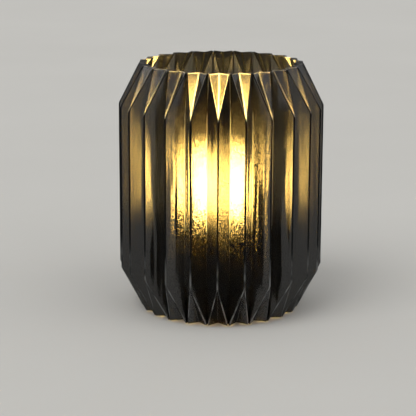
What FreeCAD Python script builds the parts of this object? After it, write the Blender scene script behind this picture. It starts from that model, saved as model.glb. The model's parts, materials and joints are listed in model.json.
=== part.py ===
import FreeCAD, Part
import math
import os
import Sketcher

# A pleated table lamp. All sizes are in millimetres. The origin is on the table under the middle of
# the lamp, +Z is up, and the front of the lamp, where one ridge of the shade lies, faces -Y.

SIZES = {
    # Base: a heavy steel disc on a thin anti-slip pad, just clear of the shade's lower rim.
    "plate_clearance": 3.2,
    "pad_inset": 5.0,
    "pad_thickness": 1.5,
    "plate_thickness": 9.0,
    "plate_edge_round": 1.5,
    "plate_foot_chamfer": 0.8,
    "nut_pocket_radius": 12.0,
    "nut_pocket_depth": 7.2,
    "channel_width": 7.0,
    "channel_depth": 4.6,
    "grommet_length": 7.0,
    "grommet_clearance": 0.1,
    "cable_slot_width": 5.4,
    "cable_slot_height": 3.2,
    # Stem: a threaded tube that pulls the lampholder and its sleeve down on the plate.
    "tube_radius": 5.0,
    "tube_bore_radius": 3.5,
    "tube_clearance": 0.1,
    "tube_overhang": 0.4,
    "tube_engagement": 7.5,
    "nut_corner_radius": 8.1,
    "nut_height": 3.0,
    "washer_radius": 9.0,
    "washer_thickness": 0.8,
    "sleeve_radius": 8.0,
    "sleeve_height": 6.0,
    # Lampholder cap, with a short neck that takes the tube and a set screw at its rear.
    "neck_radius": 8.0,
    "neck_height": 6.0,
    "cap_height": 23.5,
    "cap_wall": 2.0,
    "cap_shoulder_height": 4.0,
    "cap_round": 2.0,
    "set_screw_radius": 1.4,
    "set_screw_height": 3.0,
    "set_screw_head": 0.4,
    "set_screw_clearance": 0.1,
    # Lampholder shell, insert and contacts.
    "holder_radius": 20.0,
    "shell_height": 28.0,
    "shell_wall": 2.2,
    "lip_thickness": 1.6,
    "lip_width": 2.5,
    "flange_radius": 24.0,
    "flange_thickness": 2.5,
    "flange_rise": 6.5,
    "shell_thread_pitch": 2.5,
    "shell_thread_depth": 0.6,
    "insert_clearance": 0.1,
    "insert_rise": 2.0,
    "insert_thickness": 8.0,
    "rivet_hole_radius": 2.0,
    "terminal_offset": 10.5,
    "terminal_radius": 2.2,
    "terminal_height": 3.0,
    "screw_slot_width": 0.6,
    "screw_slot_depth": 0.8,
    "contact_width": 5.0,
    "contact_thickness": 0.5,
    "contact_rise": 2.0,
    "contact_foot_length": 8.0,
    "side_contact_length": 6.0,
    "socket_radius": 13.5,
    "socket_thread_depth": 0.7,
    "socket_wall": 0.5,
    "socket_height": 22.5,
    "edison_pitch": 3.6,
    # Shade ring and carrier.
    "ring_clearance": 0.15,
    "shade_ring_width": 5.0,
    "shade_ring_height": 6.0,
    "grip_count": 16,
    "grip_radius": 1.0,
    "hub_thickness": 1.6,
    "hub_radius": 27.0,
    "arm_count": 3,
    "arm_radius": 1.5,
    "arm_gap": 0.05,
    "wire_radius": 1.75,
    "crease_clearance": 0.25,
    # Shade: upright pleats between two shoulders, both ends of each pleat folded back in to the rims.
    "pleat_count": 24,
    "ridge_radius": 100.0,
    "valley_radius": 82.6,
    "film_thickness": 0.5,
    "rim_lift": 1.0,
    "lower_fold_height": 42.1,
    "barrel_height": 160.2,
    "upper_fold_height": 40.7,
    "lower_corner_radius": 78.3,
    "upper_corner_radius": 80.2,
    "lower_tip_radius": 69.2,
    "upper_tip_radius": 71.3,
    "lower_pinch_radius": 71.5,
    "upper_pinch_radius": 73.0,
    "pinch_gap": 2.0,
    "seam_strip_width": 9.0,
    "seam_strip_thickness": 0.3,
    "seam_margin": 4.0,
    # Bulb: an opal globe on a short housing with an Edison screw.
    "contact_seat_gap": 0.1,
    "bulb_contact_radius": 4.8,
    "bulb_contact_height": 1.0,
    "insulator_height": 5.0,
    "insulator_insertion": 1.5,
    "bulb_thread_radius": 13.2,
    "bulb_thread_depth": 0.9,
    "bulb_shell_wall": 0.5,
    "bulb_shell_height": 22.0,
    "bulb_fit_clearance": 0.15,
    "housing_foot_radius": 14.6,
    "housing_radius": 20.5,
    "housing_height": 23.0,
    "housing_wall": 1.4,
    "spigot_height": 7.0,
    "spigot_wall": 1.2,
    "ledge_width": 1.5,
    "globe_radius": 30.0,
    "globe_rise": 28.0,
    "globe_wall": 0.9,
    "led_board_drop": 0.6,
    "led_board_thickness": 1.6,
    "chip_count": 12,
    "chip_circle_radius": 12.5,
    "chip_size": 3.0,
    "chip_height": 0.7,
    "driver_width": 17.0,
    "driver_thickness": 1.4,
    "driver_gap": 0.5,
    "capacitor_radius": 3.5,
    "capacitor_height": 12.0,
    "capacitor_gap": 0.2,
}

doc = FreeCAD.newDocument("TableLamp")
sheet = doc.addObject("Spreadsheet::Sheet", "Sizes")
for row, (alias, size) in enumerate(SIZES.items(), start=1):
    sheet.set(f"A{row}", alias)
    sheet.set(f"B{row}", str(size))
    sheet.setAlias(f"B{row}", alias)
doc.recompute()

# Levels up the lamp's axis, each a sum of named sizes.
PLATE_TOP = "pad_thickness + plate_thickness"
POCKET_TOP = "pad_thickness + nut_pocket_depth"
WASHER_BOTTOM = f"{POCKET_TOP} - washer_thickness"
NUT_BOTTOM = f"{WASHER_BOTTOM} - nut_height"
TUBE_BOTTOM = f"{NUT_BOTTOM} - tube_overhang"
CAP_BOTTOM = f"{PLATE_TOP} + sleeve_height"
NECK_TOP = f"{CAP_BOTTOM} + neck_height"
CAP_SHOULDER = f"{NECK_TOP} + cap_shoulder_height"
TUBE_TOP = f"{CAP_BOTTOM} + tube_engagement"
CAP_TOP = f"{CAP_BOTTOM} + cap_height"
SHELL_TOP = f"{CAP_TOP} + shell_height"
LIP_BOTTOM = f"{SHELL_TOP} - lip_thickness"
FLANGE_BOTTOM = f"{CAP_TOP} + flange_rise"
FLANGE_TOP = f"{FLANGE_BOTTOM} + flange_thickness"
HUB_TOP = f"{FLANGE_TOP} + hub_thickness"
WIRE_LEVEL = f"{FLANGE_TOP} + 0.5*hub_thickness"
INSERT_TOP = f"{CAP_TOP} + insert_rise"
INSERT_BOTTOM = f"{INSERT_TOP} - insert_thickness"
SOCKET_BOTTOM = f"{INSERT_TOP} + contact_thickness"
SOCKET_TOP = f"{SOCKET_BOTTOM} + socket_height"
CONTACT_TOP = f"{INSERT_TOP} + contact_rise"
BULB_BOTTOM = f"{CONTACT_TOP} + contact_seat_gap"
INSULATOR_BOTTOM = f"{BULB_BOTTOM} + bulb_contact_height"
INSULATOR_TOP = f"{INSULATOR_BOTTOM} + insulator_height"
BULB_SHELL_BOTTOM = f"{INSULATOR_TOP} - insulator_insertion"
BULB_SHELL_TOP = f"{BULB_SHELL_BOTTOM} + bulb_shell_height"
SPIGOT_BOTTOM = f"{BULB_SHELL_TOP} - spigot_height"
HOUSING_FLOOR = f"{BULB_SHELL_TOP} + housing_wall"
HOUSING_TOP = f"{BULB_SHELL_TOP} + housing_height"
LED_BOARD_TOP = f"{HOUSING_TOP} - led_board_drop"
LED_BOARD_BOTTOM = f"{LED_BOARD_TOP} - led_board_thickness"
GLOBE_CENTRE = f"{HOUSING_TOP} + globe_rise"
DRIVER_BOTTOM = f"{INSULATOR_TOP} + driver_gap"

# Radii that follow their neighbours.
PLATE_RADIUS = "lower_tip_radius - plate_clearance"
PAD_RADIUS = f"{PLATE_RADIUS} - pad_inset"
TUBE_HOLE = "tube_radius + tube_clearance"
CAP_INSIDE = "holder_radius - cap_wall"
SHELL_INSIDE = "holder_radius - shell_wall"
SOCKET_ROOT = "socket_radius + socket_thread_depth"
SOCKET_OUTSIDE = f"{SOCKET_ROOT} + socket_wall"
SHADE_RING_BORE = "holder_radius + ring_clearance"
SHADE_RING_OUTSIDE = f"{SHADE_RING_BORE} + shade_ring_width"
WIRE_CIRCLE = "valley_radius - film_thickness - crease_clearance - wire_radius"
BULB_SHELL_ROOT = "bulb_thread_radius - bulb_thread_depth"
BULB_SHELL_INSIDE = f"{BULB_SHELL_ROOT} - bulb_shell_wall"
BULB_SHELL_FIT = f"{BULB_SHELL_INSIDE} - bulb_fit_clearance"
SPIGOT_INSIDE = f"{BULB_SHELL_FIT} - spigot_wall"
HOUSING_INSIDE = "housing_radius - housing_wall"

# Places that lie on one of a sketch's own axes.
AXIS = "on the upright axis"
GROUND = "on the level axis"

subparts = []


# ---------------------------------------------------------------- sizes

def terms(formula):
    """The signed factor and name of each term of a sum such as 'cap_height - 0.5*cap_wall'."""
    sign = 1
    for word in formula.split():
        if word in ("+", "-"):
            sign = 1 if word == "+" else -1
            continue
        factor, _, name = word.rpartition("*")
        yield sign * float(factor or 1), name
        sign = 1


def opposite(formula):
    """The sum with every sign turned round."""
    return " ".join(f"{'-' if factor > 0 else '+'} {abs(factor)}*{name}" for factor, name in terms(formula))


def value(formula):
    """What a sum of named sizes comes to."""
    return sum(factor * sheet.get(name) for factor, name in terms(formula))


def bound(formula):
    """The same sum as an expression on the sheet's cells."""
    return " + ".join(f"{factor} * Sizes.{name}" for factor, name in terms(formula))


def bind(node, **formulas):
    """Bind an object's properties to sums of named sizes."""
    for name, formula in formulas.items():
        node.setExpression(name, bound(formula))


def shift(node, **formulas):
    """Bind an object's place along x, y or z to sums of named sizes."""
    for direction, formula in formulas.items():
        node.setExpression(f".Placement.Base.{direction}", bound(formula))


# ---------------------------------------------------------------- building blocks

def keep(node, label):
    """Name a finished sub-part; its file gets the same name."""
    node.Label = label
    subparts.append(node)
    return node


def new_body(label):
    body = doc.addObject("PartDesign::Body", "Body_" + label)
    body.AllowCompound = True
    return keep(body, label)


def origin_part(body, role):
    return next(feature for feature in body.Origin.OriginFeatures if feature.Role == role)


def new_sketch(body, plane, name, level=None):
    """A sketch on one of the body's own planes, moved along its normal to a level."""
    sketch = body.newObject("Sketcher::SketchObject", name)
    sketch.AttachmentSupport = (origin_part(body, plane), [""])
    sketch.MapMode = "FlatFace"
    if level:
        sketch.setExpression(".AttachmentOffset.Base.z", bound(level))
    return sketch


def place(across, up):
    return FreeCAD.Vector(0 if across == AXIS else value(across), 0 if up == GROUND else value(up), 0)


def constrain(sketch, kind, *target, formula):
    """A sketch dimension bound to a sum of named sizes."""
    number = sketch.addConstraint(Sketcher.Constraint(kind, *target, value(formula)))
    sketch.setExpression(f"Constraints[{number}]", bound(formula))


def pin(sketch, edge, end, across, up):
    """Hold one end of an edge at a place in the sketch."""
    level_axis, upright_axis = -1, -2
    if across == AXIS:
        sketch.addConstraint(Sketcher.Constraint("PointOnObject", edge, end, upright_axis))
    else:
        constrain(sketch, "DistanceX", -1, 1, edge, end, formula=across)
    if up == GROUND:
        sketch.addConstraint(Sketcher.Constraint("PointOnObject", edge, end, level_axis))
    else:
        constrain(sketch, "DistanceY", -1, 1, edge, end, formula=up)


def draw_outline(sketch, points):
    """A closed outline of straight edges through places given by sums of named sizes."""
    places = [place(*point) for point in points]
    first = sketch.GeometryCount
    count = len(points)
    for index in range(count):
        sketch.addGeometry(Part.LineSegment(places[index], places[(index + 1) % count]))
    for index in range(count):
        following = first + (index + 1) % count
        sketch.addConstraint(Sketcher.Constraint("Coincident", first + index, 2, following, 1))
    for index, (across, up) in enumerate(points):
        pin(sketch, first + index, 1, across, up)


def draw_circle(sketch, radius, across, up):
    circle = sketch.addGeometry(Part.Circle(place(across, up), FreeCAD.Vector(0, 0, 1), value(radius)))
    constrain(sketch, "Radius", circle, formula=radius)
    pin(sketch, circle, 3, across, up)


def draw_slot(sketch, reach, radius, up):
    """A level slot with round ends, whose end centres lie a reach to either side."""
    normal = FreeCAD.Vector(0, 0, 1)
    offset = FreeCAD.Vector(0, value(radius), 0)
    right_centre, left_centre = place(reach, up), place(opposite(reach), up)
    quarter = math.pi / 2
    right = sketch.addGeometry(
        Part.ArcOfCircle(Part.Circle(right_centre, normal, value(radius)), -quarter, quarter))
    left = sketch.addGeometry(
        Part.ArcOfCircle(Part.Circle(left_centre, normal, value(radius)), quarter, 3 * quarter))
    top = sketch.addGeometry(Part.LineSegment(right_centre + offset, left_centre + offset))
    bottom = sketch.addGeometry(Part.LineSegment(left_centre - offset, right_centre - offset))
    for edge, end, following, start in ((right, 2, top, 1), (top, 2, left, 1),
                                        (left, 2, bottom, 1), (bottom, 2, right, 1)):
        sketch.addConstraint(Sketcher.Constraint("Tangent", edge, end, following, start))
    pin(sketch, right, 3, reach, up)
    pin(sketch, left, 3, opposite(reach), up)
    constrain(sketch, "Radius", right, formula=radius)


def revolve(body, sketch):
    turned = body.newObject("PartDesign::Revolution", "Revolution")
    turned.Profile = (sketch, [""])
    turned.ReferenceAxis = (sketch, ["V_Axis"])
    turned.Angle = 360
    return turned


def turned_part(label, points):
    """A sub-part turned about the lamp's axis from an outline of radius and height."""
    body = new_body(label)
    sketch = new_sketch(body, "XZ_Plane", "Profile")
    draw_outline(sketch, points)
    revolve(body, sketch)
    return body


def pad(body, sketch, length, both_ways=False):
    feature = body.newObject("PartDesign::Pad", "Pad")
    feature.Profile = (sketch, [""])
    feature.setExpression("Length", bound(length))
    if both_ways:
        feature.SideType = "Symmetric"
    return feature


def cut(body, sketch, depth, along_normal=False):
    """A pocket, checked to have removed material."""
    doc.recompute()
    before = body.Shape.Volume
    feature = body.newObject("PartDesign::Pocket", "Pocket")
    feature.Profile = (sketch, [""])
    feature.setExpression("Length", bound(depth))
    feature.Reversed = along_normal
    doc.recompute()
    if not body.Shape.Volume < before:
        raise RuntimeError(f"the pocket {sketch.Name} of {body.Label} cuts nothing")
    return feature


def repeat_round(body, feature, count):
    """Repeat a feature at even steps round the lamp's axis."""
    pattern = body.newObject("PartDesign::PolarPattern", "PolarPattern")
    pattern.Originals = [feature]
    pattern.Axis = (origin_part(body, "Z_Axis"), [""])
    pattern.Angle = 360
    pattern.setExpression("Occurrences", bound(count))
    body.Tip = pattern


def circles_at(shape, radius, height):
    """Names of the circular edges of one radius at one height."""
    tolerance = 1e-4
    names = []
    for number, edge in enumerate(shape.Edges, start=1):
        curve = edge.Curve
        if not isinstance(curve, Part.Circle):
            continue
        if abs(curve.Radius - radius) < tolerance and abs(curve.Center.z - height) < tolerance:
            names.append(f"Edge{number}")
    return names


def soften(body, kind, size, radius, height):
    """A Fillet or Chamfer on the circular edge of a named radius at a named height."""
    doc.recompute()
    base = body.Tip
    feature = body.newObject(f"PartDesign::{kind}", kind)
    feature.Base = (base, circles_at(base.Shape, value(radius), value(height)))
    feature.setExpression("Radius" if kind == "Fillet" else "Size", bound(size))


def screw_rings(crest, root, bottom, top, pitch):
    """Points up a screw thread drawn as rings, as many as fit between two levels."""
    count = int((value(top) - value(bottom)) / value(pitch))
    points = []
    level = bottom
    for _ in range(count):
        points += [(root, level), (crest, f"{level} + 0.5*{pitch}")]
        level = f"{level} + {pitch}"
    return points + [(root, level)]


def cylinder(name, radius, height):
    node = doc.addObject("Part::Cylinder", name)
    bind(node, Radius=radius, Height=height)
    return node


def box(name, length, width, height):
    """A box with one corner at the origin, whose sizes are sums of named sizes."""
    node = doc.addObject("Part::Box", name)
    bind(node, Length=length, Width=width, Height=height)
    return node


def slotted_screw(name, radius, length):
    """A screw head or grub screw along +Z with a slot across its lower end."""
    shank = cylinder(name + "Shank", radius, length)
    slot = box(name + "Slot", f"{radius} + {radius}", "screw_slot_width", "screw_slot_depth")
    shift(slot, x=f"- {radius}", y="- 0.5*screw_slot_width")
    screw = doc.addObject("Part::Cut", name)
    screw.Base = shank
    screw.Tool = slot
    return screw


# ---------------------------------------------------------------- base and stem

def make_base_pad():
    turned_part("base_pad", [
        (AXIS, GROUND), (PAD_RADIUS, GROUND), (PAD_RADIUS, "pad_thickness"), (AXIS, "pad_thickness"),
    ])


def make_base_plate():
    body = turned_part("base_plate", [
        (TUBE_HOLE, POCKET_TOP), ("nut_pocket_radius", POCKET_TOP),
        ("nut_pocket_radius", "pad_thickness"), (PLATE_RADIUS, "pad_thickness"),
        (PLATE_RADIUS, PLATE_TOP), (TUBE_HOLE, PLATE_TOP),
    ])
    soften(body, "Fillet", "plate_edge_round", PLATE_RADIUS, PLATE_TOP)
    soften(body, "Chamfer", "plate_foot_chamfer", PLATE_RADIUS, "pad_thickness")
    # A channel under the plate takes the cable from the nut pocket to the rear edge.
    channel = new_sketch(body, "XY_Plane", "Channel", level="pad_thickness")
    beyond = f"{PLATE_RADIUS} + plate_foot_chamfer"
    draw_outline(channel, [
        ("- 0.5*channel_width", GROUND), ("0.5*channel_width", GROUND),
        ("0.5*channel_width", beyond), ("- 0.5*channel_width", beyond),
    ])
    cut(body, channel, "channel_depth", along_normal=True)


def make_cable_grommet():
    """A rubber block in the mouth of the channel, with a slot for a flat cable."""
    body = new_body("cable_grommet")
    side = "0.5*channel_width - grommet_clearance"
    top = "pad_thickness + channel_depth - grommet_clearance"
    face = new_sketch(body, "XZ_Plane", "Face", level=opposite(PLATE_RADIUS))
    draw_outline(face, [
        (opposite(side), "pad_thickness"), (side, "pad_thickness"), (side, top), (opposite(side), top),
    ])
    draw_slot(face, "0.5*cable_slot_width - 0.5*cable_slot_height", "0.5*cable_slot_height",
              "pad_thickness + 0.5*channel_depth - 0.5*grommet_clearance")
    pad(body, face, "grommet_length")


def make_threaded_tube():
    turned_part("threaded_tube", [
        ("tube_bore_radius", TUBE_BOTTOM), ("tube_radius", TUBE_BOTTOM),
        ("tube_radius", TUBE_TOP), ("tube_bore_radius", TUBE_TOP),
    ])


def make_lock_washer():
    turned_part("lock_washer", [
        (TUBE_HOLE, WASHER_BOTTOM), ("washer_radius", WASHER_BOTTOM),
        ("washer_radius", POCKET_TOP), (TUBE_HOLE, POCKET_TOP),
    ])


def make_lock_nut():
    blank = doc.addObject("Part::Prism", "NutBlank")
    blank.Polygon = 6
    bind(blank, Circumradius="nut_corner_radius", Height="nut_height")
    bore = cylinder("NutBore", TUBE_HOLE, "nut_height")
    shift(blank, z=NUT_BOTTOM)
    shift(bore, z=NUT_BOTTOM)
    nut = doc.addObject("Part::Cut", "LockNut")
    nut.Base = blank
    nut.Tool = bore
    keep(nut, "lock_nut")


def make_stem_sleeve():
    turned_part("stem_sleeve", [
        (TUBE_HOLE, PLATE_TOP), ("sleeve_radius", PLATE_TOP),
        ("sleeve_radius", CAP_BOTTOM), (TUBE_HOLE, CAP_BOTTOM),
    ])


# ---------------------------------------------------------------- lampholder

def make_holder_cap():
    body = turned_part("holder_cap", [
        (TUBE_HOLE, CAP_BOTTOM), ("neck_radius", CAP_BOTTOM), ("neck_radius", NECK_TOP),
        ("holder_radius", CAP_SHOULDER), ("holder_radius", CAP_TOP), (CAP_INSIDE, CAP_TOP),
        (CAP_INSIDE, f"{CAP_SHOULDER} + cap_wall"), ("neck_radius", f"{NECK_TOP} + cap_wall"),
        (TUBE_HOLE, f"{NECK_TOP} + cap_wall"),
    ])
    soften(body, "Fillet", "cap_round", "holder_radius", CAP_SHOULDER)
    screw_hole = new_sketch(body, "XZ_Plane", "ScrewHole")
    draw_circle(screw_hole, "set_screw_radius + set_screw_clearance",
                AXIS, f"{CAP_BOTTOM} + set_screw_height")
    cut(body, screw_hole, "neck_radius + set_screw_head")


def make_set_screw():
    """The screw at the rear of the cap's neck that keeps it from turning on the tube."""
    screw = slotted_screw("SetScrew", "set_screw_radius",
                          f"neck_radius + set_screw_head {opposite(TUBE_HOLE)}")
    slot_outwards = FreeCAD.Rotation(FreeCAD.Vector(1, 0, 0), 90)
    screw.Placement = FreeCAD.Placement(FreeCAD.Vector(0, 0, 0), slot_outwards)
    shift(screw, y="neck_radius + set_screw_head", z=f"{CAP_BOTTOM} + set_screw_height")
    keep(screw, "set_screw")


def make_holder_insert():
    turned_part("holder_insert", [
        ("rivet_hole_radius", INSERT_BOTTOM), (f"{SHELL_INSIDE} - insert_clearance", INSERT_BOTTOM),
        (f"{SHELL_INSIDE} - insert_clearance", INSERT_TOP), ("rivet_hole_radius", INSERT_TOP),
    ])


def make_terminal_screws():
    screws = []
    for side, sign in (("Left", "-"), ("Right", "+")):
        screw = slotted_screw(f"Terminal{side}", "terminal_radius", "terminal_height")
        shift(screw, x=f"{sign} terminal_offset", z=f"{INSERT_BOTTOM} - terminal_height")
        screws.append(screw)
    pair = doc.addObject("Part::Compound", "TerminalScrews")
    pair.Links = screws
    keep(pair, "terminal_screws")


def make_centre_contact():
    """A springy strip that rises from the insert to the middle of the bulb's foot."""
    body = new_body("centre_contact")
    profile = new_sketch(body, "XZ_Plane", "Profile")
    draw_outline(profile, [
        ("- contact_foot_length", INSERT_TOP),
        ("- 0.5*contact_foot_length", INSERT_TOP),
        ("- 0.25*contact_foot_length", f"{CONTACT_TOP} - contact_thickness"),
        ("0.25*contact_foot_length", f"{CONTACT_TOP} - contact_thickness"),
        ("0.25*contact_foot_length", CONTACT_TOP),
        ("- 0.25*contact_foot_length - contact_thickness", CONTACT_TOP),
        ("- 0.5*contact_foot_length - contact_thickness", f"{INSERT_TOP} + contact_thickness"),
        ("- contact_foot_length", f"{INSERT_TOP} + contact_thickness"),
    ])
    pad(body, profile, "contact_width", both_ways=True)


def make_side_contact():
    """The strip on the insert that the thread sleeve stands on."""
    strip = box("SideContact", "side_contact_length", "contact_width", "contact_thickness")
    shift(strip, x=f"{SOCKET_OUTSIDE} - side_contact_length", y="- 0.5*contact_width", z=INSERT_TOP)
    keep(strip, "side_contact")


def make_thread_sleeve():
    rings = screw_rings("socket_radius", SOCKET_ROOT, SOCKET_BOTTOM, SOCKET_TOP, "edison_pitch")
    turned_part("thread_sleeve", rings + [
        (SOCKET_ROOT, SOCKET_TOP), (SOCKET_OUTSIDE, SOCKET_TOP), (SOCKET_OUTSIDE, SOCKET_BOTTOM),
    ])


def make_holder_shell():
    groove = "holder_radius - shell_thread_depth"
    lip = f"{SHELL_INSIDE} - lip_width"
    rings = screw_rings("holder_radius", groove, HUB_TOP, LIP_BOTTOM, "shell_thread_pitch")
    turned_part("holder_shell", [
        (SHELL_INSIDE, CAP_TOP), ("holder_radius", CAP_TOP), ("holder_radius", FLANGE_BOTTOM),
        ("flange_radius", FLANGE_BOTTOM), ("flange_radius", FLANGE_TOP),
        ("holder_radius", FLANGE_TOP), *rings, ("holder_radius", LIP_BOTTOM),
        ("holder_radius", SHELL_TOP), (lip, SHELL_TOP), (lip, LIP_BOTTOM), (SHELL_INSIDE, LIP_BOTTOM),
    ])


# ---------------------------------------------------------------- shade carrier

def make_shade_ring():
    """The threaded ring that clamps the carrier's hub on the holder's flange."""
    ring_top = f"{HUB_TOP} + shade_ring_height"
    body = turned_part("shade_ring", [
        (SHADE_RING_BORE, HUB_TOP), (SHADE_RING_OUTSIDE, HUB_TOP),
        (SHADE_RING_OUTSIDE, ring_top), (SHADE_RING_BORE, ring_top),
    ])
    grip = new_sketch(body, "XY_Plane", "Grip", level=HUB_TOP)
    draw_circle(grip, "grip_radius", AXIS, SHADE_RING_OUTSIDE)
    notch = cut(body, grip, "shade_ring_height", along_normal=True)
    repeat_round(body, notch, "grip_count")


def make_carrier_hub():
    turned_part("carrier_hub", [
        (SHADE_RING_BORE, FLANGE_TOP), ("hub_radius", FLANGE_TOP),
        ("hub_radius", HUB_TOP), (SHADE_RING_BORE, HUB_TOP),
    ])


def make_carrier_arms():
    """Wires welded between the hub and the ring."""
    body = new_body("carrier_arms")
    end = new_sketch(body, "YZ_Plane", "End", level="hub_radius + arm_gap")
    draw_circle(end, "arm_radius", AXIS, WIRE_LEVEL)
    arm = pad(body, end, f"{WIRE_CIRCLE} - wire_radius - hub_radius - 2*arm_gap")
    repeat_round(body, arm, "arm_count")


def make_carrier_ring():
    """The wire ring that sits just inside the shade's valley creases."""
    ring = doc.addObject("Part::Torus", "CarrierRing")
    bind(ring, Radius1=WIRE_CIRCLE, Radius2="wire_radius")
    shift(ring, z=WIRE_LEVEL)
    keep(ring, "carrier_ring")


# ---------------------------------------------------------------- shade

def polar(radius, degrees, height):
    """A point at an azimuth counted from the front of the lamp."""
    angle = math.radians(degrees - 90)
    return FreeCAD.Vector(radius * math.cos(angle), radius * math.sin(angle), height)


def offset_corner(before, point, after, inwards):
    """Move a corner of a level outline that runs counter-clockwise, keeping the film's thickness."""
    longest_mitre = 3
    up = FreeCAD.Vector(0, 0, 1)
    first = up.cross(point - before).normalize()
    second = up.cross(after - point).normalize()
    middle = (first + second).normalize()
    return point + middle * (inwards * min(1 / middle.dot(first), longest_mitre))


def offset_loop(points, inwards):
    count = len(points)
    return [offset_corner(points[index - 1], points[index], points[(index + 1) % count], inwards)
            for index in range(count)]


def shade_levels():
    lower_rim = value("rim_lift")
    lower_shoulder = lower_rim + value("lower_fold_height")
    upper_shoulder = lower_shoulder + value("barrel_height")
    return lower_rim, lower_shoulder, upper_shoulder, upper_shoulder + value("upper_fold_height")


def barrel_loop(height):
    """Valley and ridge of every pleat in turn, round a level of the barrel."""
    step = 360 / value("pleat_count")
    points = []
    for pleat in range(int(value("pleat_count"))):
        points.append(polar(value("valley_radius"), (pleat - 0.5) * step, height))
        points.append(polar(value("ridge_radius"), pleat * step, height))
    return points


def rim_loop(end, height):
    """Pinch, corner, tip and corner of every pleat in turn, round one rim."""
    step = 360 / value("pleat_count")
    corner_radius = value(f"{end}_corner_radius")
    half_gap = math.degrees(math.asin(0.5 * value("pinch_gap") / corner_radius))
    points = []
    for pleat in range(int(value("pleat_count"))):
        middle = pleat * step
        points.append(polar(value(f"{end}_pinch_radius"), middle - 0.5 * step, height))
        points.append(polar(corner_radius, middle - 0.5 * step + half_gap, height))
        points.append(polar(value(f"{end}_tip_radius"), middle, height))
        points.append(polar(corner_radius, middle + 0.5 * step - half_gap, height))
    return points


class FilmSide:
    """The corners of one side of the film, found by pleat number."""

    def __init__(self, inwards):
        lower_rim, lower_shoulder, upper_shoulder, upper_rim = shade_levels()
        self.lower = offset_loop(rim_loop("lower", lower_rim), inwards)
        self.low_barrel = offset_loop(barrel_loop(lower_shoulder), inwards)
        self.high_barrel = offset_loop(barrel_loop(upper_shoulder), inwards)
        self.upper = offset_loop(rim_loop("upper", upper_rim), inwards)

    def pick(self, loop, index):
        return loop[index % len(loop)]

    def valley_line(self, pleat):
        """The valley at the start of a pleat, from the lower rim to the upper."""
        return [self.pick(self.lower, 4 * pleat), self.pick(self.low_barrel, 2 * pleat),
                self.pick(self.high_barrel, 2 * pleat), self.pick(self.upper, 4 * pleat)]

    def half_pleat(self, pleat, half):
        """The flat facets between a pleat's ridge and the valley before or after it."""
        pinch, low_valley, high_valley, upper_pinch = self.valley_line(pleat + half)
        tip, upper_tip = self.lower[4 * pleat + 2], self.upper[4 * pleat + 2]
        corner, upper_corner = (loop[4 * pleat + 1 + 2 * half] for loop in (self.lower, self.upper))
        low_ridge, high_ridge = self.low_barrel[2 * pleat + 1], self.high_barrel[2 * pleat + 1]
        return [
            [tip, low_ridge, corner], [corner, low_ridge, low_valley], [corner, low_valley, pinch],
            [low_ridge, high_ridge, high_valley, low_valley],
            [high_ridge, upper_tip, upper_corner], [high_ridge, upper_corner, high_valley],
            [high_valley, upper_corner, upper_pinch],
        ]


def facet(points):
    return Part.Face(Part.makePolygon(points + points[:1]))


def panel_shape(outside, inside, first, last):
    """One sheet of film that runs from one valley to another, as a closed solid."""
    facets = []
    for pleat in range(first, last):
        for half in (0, 1):
            facets += outside.half_pleat(pleat, half) + inside.half_pleat(pleat, half)
        for name in ("lower", "upper"):
            outer, inner = getattr(outside, name), getattr(inside, name)
            for index in range(4 * pleat, 4 * pleat + 4):
                facets.append([outside.pick(outer, index), outside.pick(outer, index + 1),
                               inside.pick(inner, index + 1), inside.pick(inner, index)])
    for pleat in (first, last):
        facets.append(outside.valley_line(pleat) + inside.valley_line(pleat)[::-1])
    shell = Part.makeShell([facet(points) for points in facets])
    shell.sewShape()
    solid = Part.makeSolid(shell)
    if solid.Volume < 0:
        solid.reverse()
    return solid


def seam_strip_shape(inside, pleat):
    """A strip folded over the crease inside the joint of two panels, above the carrier ring."""
    ridge_before, crease, ridge_after = (
        inside.pick(inside.low_barrel, 2 * pleat + side) for side in (-1, 0, 1))
    width = value("seam_strip_width")
    start = crease + (ridge_before - crease).normalize() * width
    end = crease + (ridge_after - crease).normalize() * width
    thickness = value("seam_strip_thickness")
    thick_before = FreeCAD.Vector(0, 0, 1).cross(crease - start).normalize() * thickness
    thick_after = FreeCAD.Vector(0, 0, 1).cross(end - crease).normalize() * thickness
    outline = [start, crease, end, end + thick_after,
               offset_corner(start, crease, end, thickness), start + thick_before]
    bottom = value(f"{WIRE_LEVEL} + wire_radius + seam_margin")
    top = shade_levels()[2] - value("seam_margin")
    for point in outline:
        point.z = bottom
    return facet(outline).extrude(FreeCAD.Vector(0, 0, top - bottom))


def make_shade():
    """Front and rear panels that meet at two valley creases, and a strip over each joint."""
    half_film = 0.5 * value("film_thickness")
    outside, inside = FilmSide(-half_film), FilmSide(half_film)
    pleats = int(value("pleat_count"))
    quarter = pleats // 4
    first_joint = -quarter + 1
    second_joint = first_joint + pleats // 2
    shapes = {
        "shade_panel_front": panel_shape(outside, inside, first_joint, second_joint),
        "shade_panel_rear": panel_shape(outside, inside, second_joint, first_joint + pleats),
        "seam_strips": Part.makeCompound(
            [seam_strip_shape(inside, joint) for joint in (first_joint, second_joint)]),
    }
    for label, shape in shapes.items():
        node = doc.addObject("Part::Feature", label.title().replace("_", ""))
        node.Shape = shape
        keep(node, label)


# ---------------------------------------------------------------- bulb

def make_bulb_contact():
    turned_part("bulb_contact", [
        (AXIS, BULB_BOTTOM), ("0.6*bulb_contact_radius", BULB_BOTTOM),
        ("bulb_contact_radius", INSULATOR_BOTTOM), (AXIS, INSULATOR_BOTTOM),
    ])


def make_bulb_insulator():
    turned_part("bulb_insulator", [
        (AXIS, INSULATOR_BOTTOM), ("bulb_contact_radius", INSULATOR_BOTTOM),
        (BULB_SHELL_FIT, BULB_SHELL_BOTTOM), (BULB_SHELL_FIT, INSULATOR_TOP), (AXIS, INSULATOR_TOP),
    ])


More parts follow.
